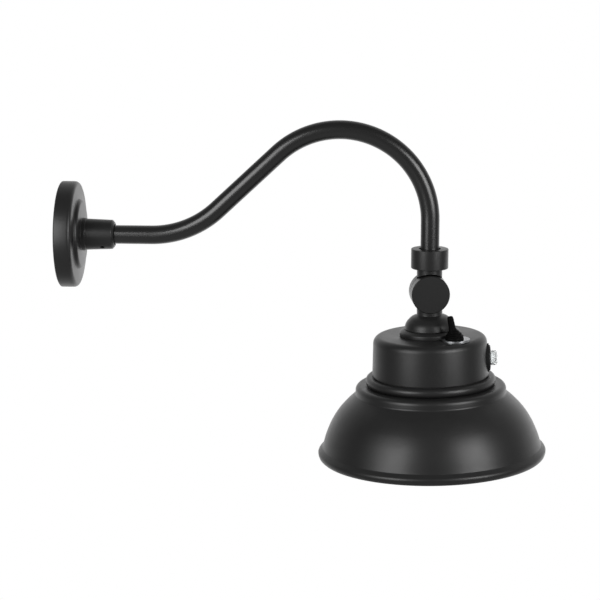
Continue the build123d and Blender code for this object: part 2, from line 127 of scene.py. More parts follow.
def turnPiece(name, values):
    # rings are (radius, height) in mm along the profile; a closed profile ends where it starts
    # rounds are (radius, height, size) in mm, for the rings whose edge is rounded
    rings = [(max(r, poleRadius) * mm, h * mm) for r, h in values["rings"]]
    pickNothing()
    bpy.ops.mesh.primitive_circle_add(vertices=values["segments"], radius=rings[0][0])
    piece = bpy.context.object
    piece.name = name
    startEdit(piece)
    bpy.ops.mesh.select_all(action="SELECT")
    bpy.ops.transform.translate(value=(0, 0, rings[0][1]))
    for (lastRadius, lastHeight), (radius, height) in zip(rings, rings[1:]):
        bpy.ops.mesh.extrude_region_move(
            TRANSFORM_OT_translate={"value": (0, 0, height - lastHeight)})
        grow = radius / lastRadius
        bpy.ops.transform.resize(value=(grow, grow, 1), center_override=(0, 0, height))
    bpy.ops.mesh.select_all(action="SELECT")
    bpy.ops.mesh.remove_doubles(threshold=mergeGap)
    for radius, height in (rings[0], rings[-1]):
        if radius <= poleRadius * mm:
            pickEdges(piece, ringOf(radius, height))
            bpy.ops.mesh.merge(type="CENTER")
    bpy.ops.mesh.select_all(action="SELECT")
    bpy.ops.mesh.normals_make_consistent(inside=False)
    for radius, height, size in values.get("rounds", []):
        pickEdges(piece, ringOf(radius * mm, height * mm))
        bpy.ops.mesh.bevel(offset=size * mm, offset_type="OFFSET", segments=values["steps"],
                           profile=0.5, affect="EDGES", clamp_overlap=True)
    endEdit()
    return piece


def place(piece, matrix):
    piece.matrix_world = matrix
    pickOnly(piece)
    bpy.ops.object.transform_apply(location=True, rotation=True, scale=True)


def smooth(piece, angle=32):
    pickOnly(piece)
    bpy.ops.object.shade_smooth_by_angle(angle=radians(angle))


def applyModifier(piece, kind, **settings):
    pickOnly(piece)
    modifier = piece.modifiers.new(kind.lower(), kind)
    for key, value in settings.items():
        setattr(modifier, key, value)
    bpy.ops.object.modifier_apply(modifier=modifier.name)


def rodCutter(radius, start, end, farRadius=None):
    # a round or tapered rod between two points, in metres, used up by a cut
    start = Vector(start)
    end = Vector(end)
    way = end - start
    pickNothing()
    bpy.ops.mesh.primitive_cone_add(
        vertices=64, radius1=radius, radius2=radius if farRadius is None else farRadius,
        depth=way.length, location=(start + end) / 2,
        rotation=way.to_track_quat("Z", "Y").to_euler())
    return bpy.context.object


def cut(piece, cutter):
    applyModifier(piece, "BOOLEAN", operation="DIFFERENCE", solver="EXACT", object=cutter)
    bpy.data.objects.remove(cutter)


def copyOfNode(node, name, angle=28):
    # a merged copy of a CAD node, so that its round faces can be shaded smooth
    original = frame["nodes"][node]
    pickNothing()
    original.select_set(True)
    bpy.context.view_layer.objects.active = original
    bpy.ops.object.duplicate()
    piece = bpy.context.object
    piece.name = name
    world = piece.matrix_world.copy()
    piece.parent = None
    piece.matrix_world = world
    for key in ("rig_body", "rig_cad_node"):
        if key in piece:
            del piece[key]
    startEdit(piece, "VERT")
    bpy.ops.mesh.select_all(action="SELECT")
    bpy.ops.mesh.remove_doubles(threshold=mergeGap)
    endEdit()
    if piece.data.has_custom_normals:
        bpy.ops.mesh.customdata_custom_splitnormals_clear()
    smooth(piece, angle)
    return piece


edgeWearAndSheen = {
    "startAngle": 6,  # degrees at an edge where the wear and the painted highlight start
    "spread": 14,  # and how many more until it is full
}


def markEdges(piece):
    # the edge mask is 1 on convex edges and rounded corners, where the coat is painted lighter:
    # partly wear, partly a painted highlight where the edge would catch the light
    mesh = bmesh.new()
    mesh.from_mesh(piece.data)
    start = radians(edgeWearAndSheen["startAngle"])
    spread = radians(edgeWearAndSheen["spread"])
    values = []
    for v in mesh.verts:
        sharpest = 0.0
        for edge in v.link_edges:
            if len(edge.link_faces) == 2:
                sharpest = max(sharpest, edge.calc_face_angle_signed(0.0))
        values.append(min(1.0, max(0.0, (sharpest - start) / spread)))
    mesh.free()
    wearSheenEdge = piece.data.attributes.new("wearSheenEdge", "FLOAT", "POINT")
    wearSheenEdge.data.foreach_set("value", values)


def dress(piece, material, slotName, body, *nodes):
    piece.data.materials.clear()
    piece.data.materials.append(material)
    if body:
        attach(piece, body)
    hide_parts(*nodes)


def finishPiece(piece, matrix, material, slotName, body, node, angle=32, wearAndSheen=True):
    place(piece, matrix)
    smooth(piece, angle)
    # convex edges get the mask for the lighter edge tone, partly wear and partly painted
    # highlight
    if wearAndSheen:
        markEdges(piece)
    dress(piece, material, slotName, body, node)


# what the node trees are put together with

def newGroup(name, inputs, outputs):
    group = bpy.data.node_groups.new(name, "ShaderNodeTree")
    for label, start in inputs:
        socket = group.interface.new_socket(label, in_out="INPUT",
                                            socket_type="NodeSocketFloat")
        socket.default_value = start
    for label in outputs:
        group.interface.new_socket(label, in_out="OUTPUT", socket_type="NodeSocketFloat")
    return group


def addNode(tree, kind, values=None, **settings):
    node = tree.nodes.new("ShaderNode" + kind)
    for key, value in settings.items():
        setattr(node, key, value)
    for key, value in (values or {}).items():
        node.inputs[key].default_value = value
    return node


def combine(tree, first, second, operation="ADD", clamp=False):
    node = addNode(tree, "Math", operation=operation, use_clamp=clamp)
    for socket, value in zip(node.inputs, (first, second)):
        if isinstance(value, (int, float)):
            socket.default_value = value
        else:
            tree.links.new(value, socket)
    return node.outputs[0]


def times(tree, first, second):
    return combine(tree, first, second, "MULTIPLY")


def stretched(tree, value, low, high, outLow=0.0, outHigh=1.0):
    node = addNode(tree, "MapRange", {"From Min": low, "From Max": high,
                                      "To Min": outLow, "To Max": outHigh})
    tree.links.new(value, node.inputs["Value"])
    return node.outputs["Result"]


# groups that several materials share

grainLook = {
    "softness": 0.6,  # how rounded a pimple is
    "rippleSize": 0.42,  # the ripple and the specks, against the pimples' size
    "speckSize": 0.31,
    "speckEdge": (0.16, 0.05),
    "glossSpread": (0.3, 0.7),
}


def makeCoatGrain():
    # fine-texture powder coat: tight pimples, a slow drift in gloss and stray lighter specks
    tree = newGroup("coatGrain", [("Size", 900.0), ("Drift", 22.0)], ["Height", "Gloss", "Speck"])
    put = tree.nodes.new("NodeGroupInput")
    out = tree.nodes.new("NodeGroupOutput")
    where = addNode(tree, "TexCoord")
    pimples = addNode(tree, "TexVoronoi", {"Smoothness": grainLook["softness"]},
                      feature="SMOOTH_F1")
    ripple = addNode(tree, "TexNoise", {"Detail": 3.0, "Roughness": 0.55})
    drift = addNode(tree, "TexNoise", {"Detail": 4.0, "Roughness": 0.6})
    specks = addNode(tree, "TexVoronoi", feature="F1")
    for texture in (pimples, ripple, drift, specks):
        tree.links.new(where.outputs["Object"], texture.inputs["Vector"])
    size = put.outputs["Size"]
    tree.links.new(size, pimples.inputs["Scale"])
    tree.links.new(times(tree, size, grainLook["rippleSize"]), ripple.inputs["Scale"])
    tree.links.new(put.outputs["Drift"], drift.inputs["Scale"])
    tree.links.new(times(tree, size, grainLook["speckSize"]), specks.inputs["Scale"])
    bump = combine(tree, 1.0, pimples.outputs["Distance"], "SUBTRACT")
    bump = combine(tree, bump, ripple.outputs["Fac"])
    tree.links.new(times(tree, bump, 0.5), out.inputs["Height"])
    gloss = stretched(tree, drift.outputs["Fac"], *grainLook["glossSpread"])
    tree.links.new(gloss, out.inputs["Gloss"])
    speck = stretched(tree, specks.outputs["Distance"], *grainLook["speckEdge"])
    tree.links.new(speck, out.inputs["Speck"])
    return tree


dustLook = {
    "upFacing": (0.45, 1.0),  # the normal's rise where the film starts and where it is full
    "patchEdge": (0.38, 0.68),
}


def makeDust():
    # a thin film that settles on what faces up, broken by a soft noise
    tree = newGroup("settledDust", [("Amount", 0.5), ("Patch", 60.0)], ["Mask"])
    put = tree.nodes.new("NodeGroupInput")
    out = tree.nodes.new("NodeGroupOutput")
    where = addNode(tree, "TexCoord")
    parts = addNode(tree, "SeparateXYZ")
    tree.links.new(where.outputs["Normal"], parts.inputs[0])
    patches = addNode(tree, "TexNoise", {"Detail": 6.0, "Roughness": 0.65})
    tree.links.new(where.outputs["Object"], patches.inputs["Vector"])
    tree.links.new(put.outputs["Patch"], patches.inputs["Scale"])
    up = stretched(tree, parts.outputs["Z"], *dustLook["upFacing"])
    patch = stretched(tree, patches.outputs["Fac"], *dustLook["patchEdge"])
    mask = times(tree, times(tree, up, patch), put.outputs["Amount"])
    tree.links.new(mask, out.inputs["Mask"])
    return tree


def makeFineLines():
    # drawn or turned metal: long thin streaks along one way, set by the three scales
    tree = newGroup("fineLines", [("Along X", 40.0), ("Along Y", 40.0), ("Along Z", 3000.0)],
                    ["Height", "Shade"])
    put = tree.nodes.new("NodeGroupInput")
    out = tree.nodes.new("NodeGroupOutput")
    where = addNode(tree, "TexCoord")
    scales = addNode(tree, "CombineXYZ")
    for label, socket in (("Along X", "X"), ("Along Y", "Y"), ("Along Z", "Z")):
        tree.links.new(put.outputs[label], scales.inputs[socket])
    stretch = addNode(tree, "VectorMath", operation="MULTIPLY")
    tree.links.new(where.outputs["Object"], stretch.inputs[0])
    tree.links.new(scales.outputs[0], stretch.inputs[1])
    lines = addNode(tree, "TexNoise", {"Scale": 1.0, "Detail": 2.0})
    tree.links.new(stretch.outputs[0], lines.inputs["Vector"])
    tree.links.new(lines.outputs["Fac"], out.inputs["Height"])
    tree.links.new(stretched(tree, lines.outputs["Fac"], 0.3, 0.7), out.inputs["Shade"])
    return tree


coatGrain = makeCoatGrain()
settledDust = makeDust()
fineLines = makeFineLines()


# materials

def newMaterial(name, **values):
    material = bpy.data.materials.new(name)
    material.use_nodes = True
    tree = material.node_tree
    shader = tree.nodes["Principled BSDF"]
    for key, value in values.items():
        shader.inputs[key].default_value = value
    return material, tree, shader


def useGroup(tree, group, **values):
    node = tree.nodes.new("ShaderNodeGroup")
    node.node_tree = group
    for key, value in values.items():
        node.inputs[key].default_value = value
    return node


def mixColor(tree, factor, low, high):
    node = addNode(tree, "Mix", data_type="RGBA")
    sockets = [s for s in node.inputs if s.enabled]
    for socket, value in zip(sockets, (factor, low, high)):
        if isinstance(value, (int, float, tuple)):
            socket.default_value = value
        else:
            tree.links.new(value, socket)
    return [s for s in node.outputs if s.enabled][0]


def grey(value, warm=0.0):
    return (value * (1 + warm), value, value * (1 - warm), 1)


def darkened(color, share):
    return tuple(c * share for c in color[:3]) + (1,)


def addBump(tree, shader, height, strength, distance):
    bump = addNode(tree, "Bump", {"Strength": strength, "Distance": distance})
    tree.links.new(height, bump.inputs["Height"])
    tree.links.new(bump.outputs["Normal"], shader.inputs["Normal"])


coatLook = {
    # tones against the coat's base tone, and how much of each shows
    "darkTone": 0.86,
    "lightTone": 1.12,
    "speckTone": 2.2,
    "speckShare": 0.35,
    # the edge tone, its share and drift paint convex edges lighter: partly wear, partly a painted
    # highlight
    "wearSheenTone": 2.6,
    "wearSheenShare": 0.45,
    "wearSheenDrift": 0.55,
    "dust": 0.25,
    "dustTone": (0.16, 0.03),  # tone and warmth
    "dustShare": 0.10,
    # roughness added or taken away
    "glossSpread": 0.035,
    "wornPolish": 0.08,
    "dustRough": 0.12,
    "bumpDepth": 0.00004,
    "ringScale": 130.0,  # the faint rings that a spun sheet keeps under its coat
    "ringRelief": 0.10,
}


def makeCoat(name, base, rough, grainSize, relief, spun=False, shine=0.5):
    look = coatLook
    material, tree, shader = newMaterial(name, **{"Specular IOR Level": shine})
    grain = useGroup(tree, coatGrain, Size=grainSize)
    film = useGroup(tree, settledDust, Amount=look["dust"])
    wearSheenEdge = addNode(tree, "Attribute", attribute_name="wearSheenEdge")
    drift = grain.outputs["Gloss"]
    dust = film.outputs["Mask"]
    # convex edges get a lighter tone: partly wear, partly a painted highlight
    wearAndSheen = times(tree, wearSheenEdge.outputs["Fac"], times(tree, drift, look["wearSheenDrift"]))
    tone = mixColor(tree, drift, grey(base * look["darkTone"]), grey(base * look["lightTone"]))
    speck = times(tree, grain.outputs["Speck"], look["speckShare"])
    tone = mixColor(tree, speck, tone, grey(base * look["speckTone"]))
    tone = mixColor(tree, times(tree, wearAndSheen, look["wearSheenShare"]), tone,
                    grey(base * look["wearSheenTone"]))
    tone = mixColor(tree, times(tree, dust, look["dustShare"]), tone, grey(*look["dustTone"]))
    tree.links.new(tone, shader.inputs["Base Color"])
    gloss = stretched(tree, drift, 0.0, 1.0, rough + look["glossSpread"],
                      rough - look["glossSpread"])
    gloss = combine(tree, gloss, times(tree, wearAndSheen, look["wornPolish"]), "SUBTRACT")
    gloss = combine(tree, gloss, times(tree, dust, look["dustRough"]))
    tree.links.new(gloss, shader.inputs["Roughness"])
    height = grain.outputs["Height"]
    if spun:
        where = addNode(tree, "TexCoord")
        moved = addNode(tree, "Mapping", {"Location": (-headX, 0, 0)})
        tree.links.new(where.outputs["Object"], moved.inputs["Vector"])
        rings = addNode(tree, "TexWave",
                        {"Scale": look["ringScale"], "Distortion": 0.6, "Detail": 1.0},
                        wave_type="BANDS", bands_direction="Z")
        tree.links.new(moved.outputs["Vector"], rings.inputs["Vector"])
        height = combine(tree, height, times(tree, rings.outputs["Fac"], look["ringRelief"]))
    addBump(tree, shader, height, relief, look["bumpDepth"])
    return material


coatCast = makeCoat("coatCast", base=0.012, rough=0.40, grainSize=950.0, relief=0.5)
coatPipe = makeCoat("coatPipe", base=0.012, rough=0.28, grainSize=1000.0, relief=0.4, shine=0.65)
coatSpun = makeCoat("coatSpun", base=0.012, rough=0.40, grainSize=1000.0, relief=0.45, spun=True)
print("coats made")

rubberLook = {
    "bloomSize": 55.0,
    "bloomTone": 1.6,  # against the base tone
    "roughSpread": 0.08,
    "dust": 0.5,
    "dustPatch": 120.0,
    "dustTone": (0.2, 0.04),  # tone and warmth
    "dustShare": 0.05,
    "bumpDepth": 0.00015,
}


def makeRubber(name, base, rough, relief=0.5, size=500.0, shine=0.35):
    look = rubberLook
    material, tree, shader = newMaterial(name, **{"Specular IOR Level": shine})
    where = addNode(tree, "TexCoord")
    skin = addNode(tree, "TexNoise", {"Scale": size, "Detail": 5.0, "Roughness": 0.7})
    bloom = addNode(tree, "TexNoise", {"Scale": look["bloomSize"], "Detail": 3.0})
    for texture in (skin, bloom):
        tree.links.new(where.outputs["Object"], texture.inputs["Vector"])
    film = useGroup(tree, settledDust, Amount=look["dust"], Patch=look["dustPatch"])
    tone = mixColor(tree, stretched(tree, bloom.outputs["Fac"], 0.35, 0.7), grey(base),
                    grey(base * look["bloomTone"]))
    tone = mixColor(tree, times(tree, film.outputs["Mask"], look["dustShare"]), tone,
                    grey(*look["dustTone"]))
    tree.links.new(tone, shader.inputs["Base Color"])
    gloss = stretched(tree, skin.outputs["Fac"], 0.3, 0.7, rough - look["roughSpread"],
                      rough + look["roughSpread"])
    tree.links.new(gloss, shader.inputs["Roughness"])
    addBump(tree, shader, skin.outputs["Fac"], relief, look["bumpDepth"])
    return material


bootRubber = makeRubber("bootRubber", 0.002, 0.55, relief=0.9, size=420.0, shine=0.06)
gasketRubber = makeRubber("gasketRubber", 0.010, 0.8)
siliconeSheet = makeRubber("siliconeSheet", 0.55, 0.6)

metalLook = {
    "darkShare": 0.74,  # the streaks' dark tone against the metal's own
    "cloudSize": 90.0,
    "cloudSpread": (0.52, 0.74, 0.0, 0.55),
    "roughDark": 0.08,  # rougher in the dark streaks, smoother in the light ones
    "roughLight": 0.05,
    "relief": 0.12,
    "bumpDepth": 0.0001,
}


def makeMetal(name, color, rough, metallic=1.0, lines=(60.0, 60.0, 2600.0), stain=None):
    look = metalLook
    material, tree, shader = newMaterial(name, Metallic=metallic)
    streaks = useGroup(tree, fineLines,
                       **{"Along X": lines[0], "Along Y": lines[1], "Along Z": lines[2]})
    where = addNode(tree, "TexCoord")
    cloud = addNode(tree, "TexNoise", {"Scale": look["cloudSize"], "Detail": 4.0})
    tree.links.new(where.outputs["Object"], cloud.inputs["Vector"])
    darker = darkened(color, look["darkShare"])
    tone = mixColor(tree, streaks.outputs["Shade"], darker, color)
    clouds = stretched(tree, cloud.outputs["Fac"], *look["cloudSpread"])
    tone = mixColor(tree, clouds, tone, stain or darker)
    tree.links.new(tone, shader.inputs["Base Color"])
    gloss = stretched(tree, streaks.outputs["Shade"], 0.0, 1.0, rough + look["roughDark"],
                      rough - look["roughLight"])
    tree.links.new(gloss, shader.inputs["Roughness"])
    addBump(tree, shader, streaks.outputs["Height"], look["relief"], look["bumpDepth"])
    return material


zincPlate = makeMetal("zincPlate", (0.55, 0.57, 0.60, 1), 0.34, stain=(0.42, 0.43, 0.46, 1))
blackOxide = makeMetal("blackOxide", (0.030, 0.030, 0.032, 1), 0.38, metallic=0.7)
greenPlate = makeMetal("greenPlate", (0.02, 0.22, 0.07, 1), 0.36, metallic=0.75)
brushedSteel = makeMetal("brushedSteel", (0.52, 0.52, 0.50, 1), 0.3)
satinPlate = makeMetal("satinPlate", (0.40, 0.41, 0.42, 1), 0.36, lines=(900.0, 60.0, 60.0))
chromeLever = makeMetal("chromeLever", (0.62, 0.63, 0.65, 1), 0.12)

plasticLook = {
    "darkShare": 0.88,  # the flow marks' tone against the plastic's own
    "flowSize": 35.0,
    "flowBend": 0.8,
    "smoother": 0.05,  # the skin's least and most roughness, against the plastic's own
    "rougher": 0.06,
    "bumpDepth": 0.00008,
}


def makePlastic(name, color, rough, relief=0.25, size=700.0, **values):
    look = plasticLook
    material, tree, shader = newMaterial(name, **values)
    where = addNode(tree, "TexCoord")
    skin = addNode(tree, "TexNoise", {"Scale": size, "Detail": 3.0})
    flow = addNode(tree, "TexNoise", {"Scale": look["flowSize"], "Detail": 2.0,
                                      "Distortion": look["flowBend"]})
    for texture in (skin, flow):
        tree.links.new(where.outputs["Object"], texture.inputs["Vector"])
    marks = stretched(tree, flow.outputs["Fac"], 0.35, 0.65)
    tone = mixColor(tree, marks, darkened(color, look["darkShare"]), color)
    tree.links.new(tone, shader.inputs["Base Color"])
    gloss = stretched(tree, skin.outputs["Fac"], 0.3, 0.7, rough - look["smoother"],
                      rough + look["rougher"])
    tree.links.new(gloss, shader.inputs["Roughness"])
    addBump(tree, shader, skin.outputs["Fac"], relief, look["bumpDepth"])
    return material


darkPlastic = makePlastic("darkPlastic", (0.018, 0.018, 0.019, 1), 0.45)
driverCase = makePlastic("driverCase", (0.62, 0.62, 0.60, 1), 0.5)
boardMask = makePlastic("boardMask", (0.74, 0.76, 0.74, 1), 0.32)
phosphor = makePlastic("phosphor", (0.80, 0.55, 0.10, 1), 0.4)
frostedLens = makePlastic("frostedLens", (0.86, 0.87, 0.85, 1), 0.42, relief=0.4, size=900.0,
                          **{"Transmission Weight": 0.55, "IOR": 1.49})
clearCap = makePlastic("clearCap", (0.90, 0.92, 0.92, 1), 0.12, relief=0.15,
                       **{"Transmission Weight": 0.85, "IOR": 1.49})
sensorFilm = makePlastic("sensorFilm", (0.42, 0.10, 0.05, 1), 0.25)
innerWhite = makePlastic("innerWhite", (0.78, 0.78, 0.76, 1), 0.42, size=950.0)
print("materials made")

# camera, light and floor; angles are degrees, lengths metres

studio = {
    "azimuth": 3.819,
    "elevation": 11.349,
    "distance": 2.3840,
    "target": (0.2723, 0, -0.0734),
    "lens": 125.5,
    "farthest": 200,
    # name, round from the camera, up, distance, width, height, watts
    "panels": [
        ("leftBox", -40.4, 15, 1.32, 0.71, 0.95, 11.0),
        ("rightBox", 47, 16, 1.52, 0.73, 0.95, 13.2),
    ],
    "floorHeight": -0.9,
    "floorSize": 60,
}

# the room's strength by the way a ray points: from, to, and the strength at each
room = {
    "turn": (0.15, 0.95),  # along Y, from the dim front to the white sweep behind
    "front": (-0.6, -0.05, 0.32, 0.10),  # up Z
    "sweep": (-0.2, 0.5, 1.55, 0.85),  # up Z
    "sweepLeft": (-0.9, 0.0, 0.62, 1.0),  # along X, times the sweep
}


def awayFrom(azimuth, elevation):
    a = radians(azimuth)
    e = radians(elevation)
    return Vector((sin(a) * cos(e), -cos(a) * cos(e), sin(e)))


def aim(thing, target):
    way = Vector(target) - thing.location
    thing.rotation_euler = way.to_track_quat("-Z", "Y").to_euler()


def setCamera():
    scene = bpy.context.scene
    target = Vector(studio["target"])
    camera = bpy.data.objects.new("camera", bpy.data.cameras.new("camera"))
    scene.collection.objects.link(camera)
    camera.data.lens = studio["lens"]
    camera.data.clip_end = studio["farthest"]
    way = awayFrom(studio["azimuth"], studio["elevation"])
    camera.location = target + studio["distance"] * way
    aim(camera, target)
    scene.camera = camera
    scene.view_settings.view_transform = "Standard"


def setPanels():
    target = Vector(studio["target"])
    for name, azimuth, elevation, distance, width, height, watts in studio["panels"]:
        panel = bpy.data.objects.new(name, bpy.data.lights.new(name, "AREA"))
        bpy.context.scene.collection.objects.link(panel)
        panel.data.shape = "RECTANGLE"
        panel.data.size = width
        panel.data.size_y = height
        panel.data.energy = watts
        panel.location = target + distance * awayFrom(studio["azimuth"] + azimuth, elevation)
        aim(panel, target)


def setRoom():
    # a white sweep behind and a dimmer room in front; the camera itself sees plain white
    world = bpy.data.worlds.new("studioRoom")
    bpy.context.scene.world = world
    world.use_nodes = True
    tree = world.node_tree
    backdrop = tree.nodes["Background"]
    backdrop.inputs["Color"].default_value = (1, 1, 1, 1)
    where = addNode(tree, "TexCoord")
    parts = addNode(tree, "SeparateXYZ")
    tree.links.new(where.outputs["Generated"], parts.inputs[0])
    front = stretched(tree, parts.outputs["Z"], *room["front"])
    sweep = times(tree, stretched(tree, parts.outputs["Z"], *room["sweep"]),
                  stretched(tree, parts.outputs["X"], *room["sweepLeft"]))
    level = addNode(tree, "Mix", data_type="FLOAT")
    tree.links.new(stretched(tree, parts.outputs["Y"], *room["turn"]), level.inputs[0])
    tree.links.new(front, level.inputs[2])
    tree.links.new(sweep, level.inputs[3])
    seen = addNode(tree, "LightPath")
    strength = combine(tree, level.outputs[0], seen.outputs["Is Camera Ray"], "MAXIMUM")
    tree.links.new(strength, backdrop.inputs["Strength"])


def layFloor():
    # white for the camera from above, and clear from below and for the light
    pickNothing()
    bpy.ops.mesh.primitive_plane_add(size=studio["floorSize"],
                                     location=(0, 0, studio["floorHeight"]))
    floor = bpy.context.object
    floor.name = "floor"
    material, tree, shader = newMaterial("paleFloor")
    glow = addNode(tree, "Emission", {"Color": (1, 1, 1, 1), "Strength": 1.0})
    clear = addNode(tree, "BsdfTransparent")
    seen = addNode(tree, "LightPath")
    facing = addNode(tree, "NewGeometry")
    fromAbove = combine(tree, seen.outputs["Is Camera Ray"], facing.outputs["Backfacing"],
                        "SUBTRACT", clamp=True)
    pick = addNode(tree, "MixShader")
    tree.links.new(fromAbove, pick.inputs[0])
    tree.links.new(clear.outputs[0], pick.inputs[1])
    tree.links.new(glow.outputs[0], pick.inputs[2])
    tree.links.new(pick.outputs[0], tree.nodes["Material Output"].inputs["Surface"])
    tree.nodes.remove(shader)
    floor.data.materials.append(material)


setCamera()
setPanels()
setRoom()
layFloor()
print("studio set")

# wall side; all pieces' values are mm and degrees

canopy = {
    "segments": 192,
    "steps": 6,
    "rings": [
        (58.7, 0.5), (60.3, 0.5), (60.3, 19.8), (40.0, 19.8), (38.5, 24.0), (18.6, 24.0),
        (18.4, 28.6), (17.75, 29.0), (16.6, 58.4), (13.7, 61.0), (12.25, 61.0), (12.25, 58.6),
        (10.7, 58.6), (10.7, 33.0), (8.55, 33.0), (8.55, 21.0), (34.5, 21.0), (36.5, 16.8),
        (57.3, 16.8), (57.3, 2.0), (58.7, 2.0), (58.7, 0.5),
    ],
    "rounds": [
        (60.3, 0.5, 1.2), (60.3, 19.8, 4.9), (40.0, 19.8, 1.2), (38.5, 24.0, 2.4),
        (18.6, 24.0, 0.7), (18.4, 28.6, 0.35), (16.6, 58.4, 0.5), (13.7, 61.0, 0.3),
        (57.3, 16.8, 2.5),
    ],
    # the set screw's hole in the hub: out of the wall, turned off plumb, from and to, radius
    "setScrewAt": 48.0,
    "setScrewTurn": 39.0,
    "setScrewReach": (8, 22),
    "setScrewRadius": 2.55,
    # each canopy screw's hole: from, to, radius at either end
    "screwsAt": 44.45,
    "screwHole": [(10, 25, 2.2, 2.2), (17.2, 19.65, 2.2, 4.35), (19.6, 22, 4.35, 4.35)],
}


def makeCanopy():
    piece = turnPiece("canopyCasting", canopy)
    place(piece, wallPlace)
    turn = radians(canopy["setScrewTurn"])
    way = Vector((0, -sin(turn), -cos(turn)))
    at = Vector((canopy["setScrewAt"] * mm, 0, 0))
    start, end = canopy["setScrewReach"]
    radius = canopy["setScrewRadius"] * mm
    cut(piece, rodCutter(radius, at + way * start * mm, at + way * end * mm))
    for side in (-1, 1):
        y = side * canopy["screwsAt"] * mm
        for start, end, radius, farRadius in canopy["screwHole"]:
            cut(piece, rodCutter(radius * mm, (start * mm, y, 0), (end * mm, y, 0),
                                 farRadius * mm))
    smooth(piece)
    markEdges(piece)
    dress(piece, coatCast, "black_coat", "wall_mount", "wall_canopy")


makeCanopy()
print("canopy made")

arm = {
    "radius": 10.65,
    "wall": 2.1,
    "around": 56,
    "start": 33.0,
    "firstBend": (103.0, 110.9, 43.0),  # where it starts, radius, angle
    "rise": 94.7,
    "crook": (101.9, 133.0),  # radius, angle
    "bendSteps": (40, 110),
    "end": -30.8,
}


def makeArm():
    # the pipe is drawn as it is bent: straight, spun round a centre above it, straight,
    # spun round a centre below it, straight
    bendX, bendRadius, bendAngle = arm["firstBend"]
    crookRadius, crookAngle = arm["crook"]
    bendSteps, crookSteps = arm["bendSteps"]
    rise = arm["rise"] * mm
    a = radians(bendAngle)
    pickNothing()
    bpy.ops.mesh.primitive_circle_add(vertices=arm["around"], radius=arm["radius"] * mm)
    piece = bpy.context.object
    piece.name = "gooseneckPipe"
    piece.rotation_euler = (0, pi / 2, 0)
    piece.location = (arm["start"] * mm, 0, 0)
    bpy.ops.object.transform_apply(location=True, rotation=True, scale=True)
    startEdit(piece)
    bpy.ops.mesh.select_all(action="SELECT")
    bpy.ops.mesh.extrude_region_move(
        TRANSFORM_OT_translate={"value": ((bendX - arm["start"]) * mm, 0, 0)})
    bpy.ops.mesh.spin(steps=bendSteps, angle=radians(bendAngle),
                      center=(bendX * mm, 0, bendRadius * mm), axis=(0, 1, 0))
    bpy.ops.mesh.extrude_region_move(
        TRANSFORM_OT_translate={"value": (rise * cos(a), 0, rise * sin(a))})
    topX = bendX * mm + bendRadius * mm * sin(a) + rise * cos(a)
    topZ = bendRadius * mm * (1 - cos(a)) + rise * sin(a)
    centre = (topX + crookRadius * mm * sin(a), 0, topZ - crookRadius * mm * cos(a))
    bpy.ops.mesh.spin(steps=crookSteps, angle=radians(-crookAngle), center=centre,
                      axis=(0, 1, 0))
    bpy.ops.mesh.extrude_region_move(
        TRANSFORM_OT_translate={"value": (0, 0, arm["end"] * mm - centre[2])})
    bpy.ops.mesh.select_all(action="SELECT")
    bpy.ops.mesh.remove_doubles(threshold=mergeGap)
    bpy.ops.mesh.normals_make_consistent(inside=False)
    endEdit()
    farthest = max((v.co for v in piece.data.vertices), key=lambda c: c.x)
    print("pipe's far side", [round(c / mm, 2) for c in farthest],
          "head axis", round(headX / mm, 2))
    applyModifier(piece, "SOLIDIFY", thickness=arm["wall"] * mm, offset=-1.0,
                  use_even_offset=True)
    smooth(piece)
    markEdges(piece)
    dress(piece, coatPipe, "black_steel", "wall_mount", "gooseneck_arm")


makeArm()
print("arm made")


# knuckle

def makeKnuckle():
    for name, body, node in (("swivelSocket", "swivel", "knuckle_upper"),
                             ("knuckleBell", "head", "knuckle_lower")):
        piece = copyOfNode(node, name)
        markEdges(piece)
        dress(piece, coatCast, "black_coat", body, node)


makeKnuckle()
print("knuckle made")

# head; heights are the CAD's own before the head leans

flange = {
    "segments": 128,
    "steps": 4,
    "rings": [
        (8.0, -111.4), (34.4, -111.4), (34.4, -107.1), (29.9, -104.5), (8.0, -104.5),
        (8.0, -111.4),
    ],
    "rounds": [(34.4, -111.4, 0.4), (34.4, -107.1, 0.9), (29.9, -104.5, 0.7)],
}

housing = {
    "segments": 192,
    "steps": 9,
    "rings": [
        (63.9, -157.4), (66.5, -157.4), (64.4, -112.0), (8.1, -112.0), (8.1, -115.0),
        (61.8, -115.0), (63.9, -157.4),
    ],
    "rounds": [(64.4, -112.0, 8.0), (61.8, -115.0, 5.4)],
}

sink = {
    "segments": 192,
    "steps": 8,
    "rings": [
        (6.0, -158.6), (74.0, -158.6), (74.0, -168.9), (62.0, -168.9), (62.0, -163.0),
        (6.0, -163.0), (6.0, -158.6),
    ],
    "rounds": [(74.0, -158.6, 5.0), (74.0, -168.9, 4.4)],
}


def makeHeadShells():
    for name, values, node in (("bellFoot", flange, "flange_ring"),
                               ("driverCap", housing, "driver_housing"),
                               ("heatSinkBead", sink, "heat_sink")):
        finishPiece(turnPiece(name, values), headPlace, coatCast, "black_coat", "head", node)


makeHeadShells()
print("head shells made")

